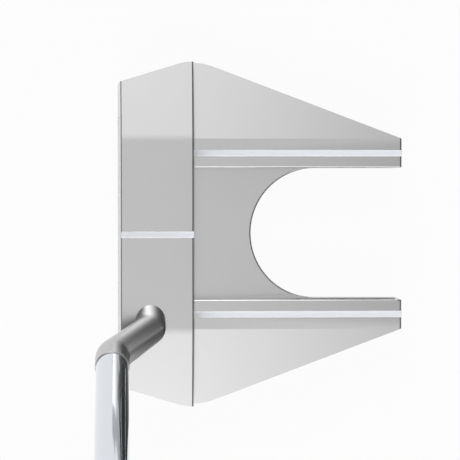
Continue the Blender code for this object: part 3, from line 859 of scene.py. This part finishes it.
def makeNeck():
    s = neckShape
    rim = shaftFoot + shaftWay * collarTop
    root = s["base"] - shaftWay * s["tail"]
    sizes = {
        "radius": s["radius"],
        "swell": s["collarRadius"] / s["radius"],
        "swellStart": lowElbow.z,
        "swellEnd": rim.z,
        "sides": s["sides"],
        "bendSteps": s["bendSteps"],
    }
    bends = [0.0, s["lowBend"], s["highBend"], 0.0]
    neck = sweptRod("neck_rod", [root, lowElbow, highElbow, rim], bends, sizes)
    foot = Matrix.Translation((s["base"].x, s["base"].y, 0))
    block = roundedBox(s["footCut"], s["footCut"], s["footCorner"])
    carve(neck, flatSolid("tool", block, -spare, barTop + s["footGap"], foot))
    roundEdges(neck, s["edge"], segments=3, angle=40)
    top, bottom = collarTop + s["spigotLength"], collarTop - s["spigotRoot"]
    spigot = [(0, top), (s["spigot"], top), (s["spigot"], bottom), (0, bottom)]
    carve(neck, spun("tool", spigot, shaftTurn, s["spigotSides"]), "UNION")
    smoothShade(neck, angle=35)
    finishPiece(neck, neckMetal, "neck", "slant_neck")


makeNeck()
print("neck made")


# Shaft: a drawn tube, plain at the tip and stepped up to the butt

shaftShape = {
    "tip": 4.7 * mm,
    "butt": 7.35 * mm,
    "wall": 0.6 * mm,
    "steps": 14,
    "firstStep": 120.0 * mm,
    "pitch": 27.0 * mm,
    "gap": 0.25 * mm,
    "length": 863.6 * mm,
    "cap": 3.0 * mm,
    "capGap": 0.3 * mm,
    "soft": 0.15 * mm,
    "plainTip": 100.0 * mm,
    "plainButt": 300.0 * mm,
    "sides": 72,
}


def makeShaft():
    s = shaftShape
    low, high = collarTop + s["gap"], s["length"] - s["cap"] - s["capGap"]
    rise = (s["butt"] - s["tip"]) / s["steps"]
    outer = [(s["tip"] - s["soft"], low), (s["tip"], low + s["soft"])]
    for k in range(s["steps"]):  # each step eases up over three times its rise
        height = collarTop + s["firstStep"] + k * s["pitch"]
        radius = s["tip"] + k * rise
        outer += [(radius, height), (radius + 0.5 * rise, height + 1.2 * rise)]
        outer.append((radius + rise, height + 3 * rise))
    outer.append((s["butt"], high))
    tipBore, buttBore = s["tip"] - s["wall"], s["butt"] - s["wall"]
    inner = [(tipBore, low), (tipBore, low + s["plainTip"])]
    inner += [(buttBore, high - s["plainButt"]), (buttBore, high)]
    shaft = spun("shaft_stepped", outer[::-1] + inner, shaftTurn, s["sides"])
    smoothShade(shaft, angle=40)
    finishPiece(shaft, chrome, "shaft", "shaft_tube")


makeShaft()
print("shaft made")


# Grip: a rubber sleeve with a flat front and a deep back, and its cap

gripShape = {
    "length": 267.0 * mm,
    "mouth": 9.9 * mm,
    "buttHalf": 13.0 * mm,
    "buttBack": 15.5 * mm,
    "flat": 9.3 * mm,
    "corner": 2.5 * mm,
    "cornerSteps": 8,
    "backSteps": 40,
    "stations": 40,
    "edge": 0.5 * mm,
    "bore": 7.85 * mm,
    "boreSides": 48,
    "capGap": 0.05 * mm,
    "capInset": 0.1 * mm,
    "capEdge": 0.6 * mm,
    "plug": 6.6 * mm,
    "plugLength": 9.0 * mm,
    "plugRoot": 1.5 * mm,
    "vent": 1.3 * mm,
    "ventSides": 24,
}


def gripSection(share, inset=0.0):
    s = gripShape
    ease = share * share * (3 - 2 * share)
    half = s["mouth"] + (s["buttHalf"] - s["mouth"]) * share - inset
    back = s["mouth"] + (s["buttBack"] - s["mouth"]) * ease - inset
    x, y = half - s["corner"], s["flat"] - inset - s["corner"]
    points = arc((x, y), s["corner"], 0, math.pi / 2, s["cornerSteps"])
    points += arc((-x, y), s["corner"], math.pi / 2, math.pi, s["cornerSteps"])
    turns = [math.pi * (1 + k / s["backSteps"]) for k in range(s["backSteps"] + 1)]
    return points + [(half * math.cos(t), back * math.sin(t)) for t in turns]


def makeGrip():
    s = gripShape
    low, high = shaftShape["length"] - s["length"], shaftShape["length"] - shaftShape["cap"] - s["capGap"]
    past = 900.0 * mm  # well above the butt
    shape = bmesh.new()
    rings = []
    for k in range(s["stations"] + 1):
        share = k / s["stations"]
        inset = s["edge"] if k in (0, s["stations"]) else 0.0
        height = low + (high - low) * share
        rings.append([shape.verts.new((x, y, height)) for x, y in gripSection(share, inset)])
    for lower, upper in zip(rings, rings[1:]):
        for k in range(len(lower)):
            j = (k + 1) % len(lower)
            shape.faces.new((lower[k], lower[j], upper[j], upper[k]))
    shape.faces.new(rings[0])
    shape.faces.new(rings[-1])
    bmesh.ops.remove_doubles(shape, verts=shape.verts, dist=weld)
    bmesh.ops.recalc_face_normals(shape, faces=shape.faces)
    shape.transform(shaftTurn)
    grip = fromBmesh("grip_rubber", shape)
    bore = [(0, past), (s["bore"], past), (s["bore"], low - spare), (0, low - spare)]
    carve(grip, spun("tool", bore, shaftTurn, s["boreSides"]))
    smoothShade(grip)
    finishPiece(grip, rubber, "grip", "grip_sleeve")
    capOutline = gripSection(1.0, s["capInset"])
    cap = flatSolid("grip_end", capOutline, high + s["capGap"], shaftShape["length"], shaftTurn)
    mergeMesh(cap)
    roundEdges(cap, s["capEdge"], segments=3, angle=60)
    top, bottom = high + s["plugRoot"], high - s["plugLength"]
    plug = [(0, top), (s["plug"], top), (s["plug"], bottom), (0, bottom)]
    carve(cap, spun("tool", plug, shaftTurn, s["boreSides"]), "UNION")
    bottom -= spare
    vent = [(0, past), (s["vent"], past), (s["vent"], bottom), (0, bottom)]
    carve(cap, spun("tool", vent, shaftTurn, s["ventSides"]))
    smoothShade(cap)
    finishPiece(cap, rubber, "grip", "grip_cap")


makeGrip()
print("grip made")


# Raised pattern on the grip: staggered pips on its flat, cross ribs round its back

patternShape = {
    "columns": 7,
    "rows": 84,
    "pipRadius": 0.75 * mm,
    "pipHeight": 0.35 * mm,
    "pipSides": 8,
    "pipRings": 5,
    "ribs": 48,
    "ribThickness": 0.035,
    "ribMargin": 0.22,
    "ribSteps": 25,
    "ribSides": 8,
    "start": 0.07,
    "end": 0.93,
    "flatShare": 0.86,
}


def makePattern():
    p, g = patternShape, gripShape
    sizes = {
        "columns": p["columns"],
        "rows": p["rows"],
        "stagger": 1.0 / (p["columns"] - 1),
        "pipRadius": p["pipRadius"],
        "pipHeight": p["pipHeight"],
        "flat": g["flat"],
        "narrow": (g["mouth"] - g["corner"]) * p["flatShare"],
        "wide": (g["buttHalf"] - g["corner"]) * p["flatShare"],
        "ribs": p["ribs"],
        "ribThickness": p["ribThickness"],
        "ribStart": math.pi + p["ribMargin"],
        "ribSweep": math.pi - 2 * p["ribMargin"],
        "mouth": g["mouth"],
        "buttHalf": g["buttHalf"],
        "buttBack": g["buttBack"],
        "start": p["start"],
        "end": p["end"],
        "low": shaftShape["length"] - g["length"],
        "high": shaftShape["length"] - shaftShape["cap"],
    }
    tree, given = startTree("gripPattern", sizes)
    index = addNode(tree, "GeometryNodeInputIndex").outputs[0]

    # a grid of points is laid on the flat, with every other row moved aside
    grid = addNode(tree, "GeometryNodeMeshGrid", Size_X=2.0, Size_Y=1.0,
                   Vertices_X=given["columns"], Vertices_Y=given["rows"])
    position = addNode(tree, "GeometryNodeInputPosition").outputs[0]
    place = addNode(tree, "ShaderNodeSeparateXYZ", in0=position).outputs
    share = addNode(tree, "ShaderNodeMapRange", in0=place["Y"], in1=-0.5, in2=0.5,
                    in3=given["start"], in4=given["end"]).outputs[0]
    half = addNode(tree, "ShaderNodeMapRange", in0=share, in3=given["narrow"], in4=given["wide"])
    height = addNode(tree, "ShaderNodeMapRange", in0=share, in3=given["low"], in4=given["high"])
    row = addNode(tree, "ShaderNodeMath", {"operation": "MODULO"}, in0=index, in1=given["rows"])
    odd = addNode(tree, "ShaderNodeMath", {"operation": "MODULO"}, in0=row.outputs[0], in1=2.0)
    aside = addNode(tree, "ShaderNodeMath", {"operation": "SUBTRACT"}, in0=odd.outputs[0], in1=0.5)
    across = addNode(tree, "ShaderNodeMath", {"operation": "MULTIPLY_ADD"},
                     in0=aside.outputs[0], in1=given["stagger"], in2=place["X"])
    out = addNode(tree, "ShaderNodeMath", {"operation": "MULTIPLY"},
                  in0=across.outputs[0], in1=half.outputs[0])
    spot = addNode(tree, "ShaderNodeCombineXYZ", X=out.outputs[0], Y=given["flat"], Z=height.outputs[0])
    spots = addNode(tree, "GeometryNodeSetPosition",
                    Geometry=grid.outputs["Mesh"], Position=spot.outputs[0])
    ball = addNode(tree, "GeometryNodeMeshUVSphere", Segments=p["pipSides"], Rings=p["pipRings"], Radius=1.0)
    squat = addNode(tree, "ShaderNodeCombineXYZ",
                    X=given["pipRadius"], Y=given["pipHeight"], Z=given["pipRadius"])
    pip = addNode(tree, "GeometryNodeTransform", Geometry=ball.outputs["Mesh"], Scale=squat.outputs[0])
    pips = addNode(tree, "GeometryNodeInstanceOnPoints", Points=spots.outputs[0], Instance=pip.outputs[0])

    # a line of points carries the ribs, each scaled to the grip's section there
    last = addNode(tree, "ShaderNodeMath", {"operation": "SUBTRACT"}, in0=given["ribs"], in1=1.0)
    ribShare = addNode(tree, "ShaderNodeMapRange", in0=index, in1=0.0, in2=last.outputs[0],
                       in3=given["start"], in4=given["end"]).outputs[0]
    ribHalf = addNode(tree, "ShaderNodeMapRange",
                      in0=ribShare, in3=given["mouth"], in4=given["buttHalf"]).outputs[0]
    ribBack = addNode(tree, "ShaderNodeMapRange", {"interpolation_type": "SMOOTHSTEP"},
                      in0=ribShare, in3=given["mouth"], in4=given["buttBack"]).outputs[0]
    ribHeight = addNode(tree, "ShaderNodeMapRange", in0=ribShare, in3=given["low"], in4=given["high"])
    line = addNode(tree, "GeometryNodeMeshLine", Count=given["ribs"])
    ribSpot = addNode(tree, "ShaderNodeCombineXYZ", Z=ribHeight.outputs[0])
    ribSpots = addNode(tree, "GeometryNodeSetPosition",
                       Geometry=line.outputs[0], Position=ribSpot.outputs[0])
    hoop = addNode(tree, "GeometryNodeCurveArc", Resolution=p["ribSteps"], Radius=1.0,
                   Start_Angle=given["ribStart"], Sweep_Angle=given["ribSweep"])
    wire = addNode(tree, "GeometryNodeCurvePrimitiveCircle",
                   Resolution=p["ribSides"], Radius=given["ribThickness"])
    rib = addNode(tree, "GeometryNodeCurveToMesh", Curve=hoop.outputs["Curve"],
                  Profile_Curve=wire.outputs[0], Fill_Caps=True)
    fit = addNode(tree, "ShaderNodeCombineXYZ", X=ribHalf, Y=ribBack, Z=ribHalf)
    ribs = addNode(tree, "GeometryNodeInstanceOnPoints", Points=ribSpots.outputs[0],
                   Instance=rib.outputs[0], Scale=fit.outputs[0])
    both = addNode(tree, "GeometryNodeJoinGeometry", Geometry=pips.outputs[0])
    tree.links.new(ribs.outputs[0], both.inputs[0])
    pattern = linkNew("grip_pattern", bpy.data.meshes.new("grip_pattern"))
    pattern.matrix_world = shaftTurn
    runTree(pattern, tree, sizes, both.outputs[0], rubber)
    smoothShade(pattern, angle=80)
    finishPiece(pattern, rubber, "grip")
    print("grip pattern made:", len(pattern.data.polygons), "faces")


makePattern()


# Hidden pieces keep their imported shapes

for hiddenNode, hiddenMaterial in (("insert_backing", padRubber), ("grip_tape", tapePaper)):
    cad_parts[hiddenNode].data.materials.clear()
    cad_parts[hiddenNode].data.materials.append(hiddenMaterial)


# The head is finished last, when every pocket, groove and port is cut

smoothShade(head, angle=headShape["smoothAngle"])
sharpenFolds(head)
finishPiece(head, headMetal, "head", "head_body")

print("pieces placed")
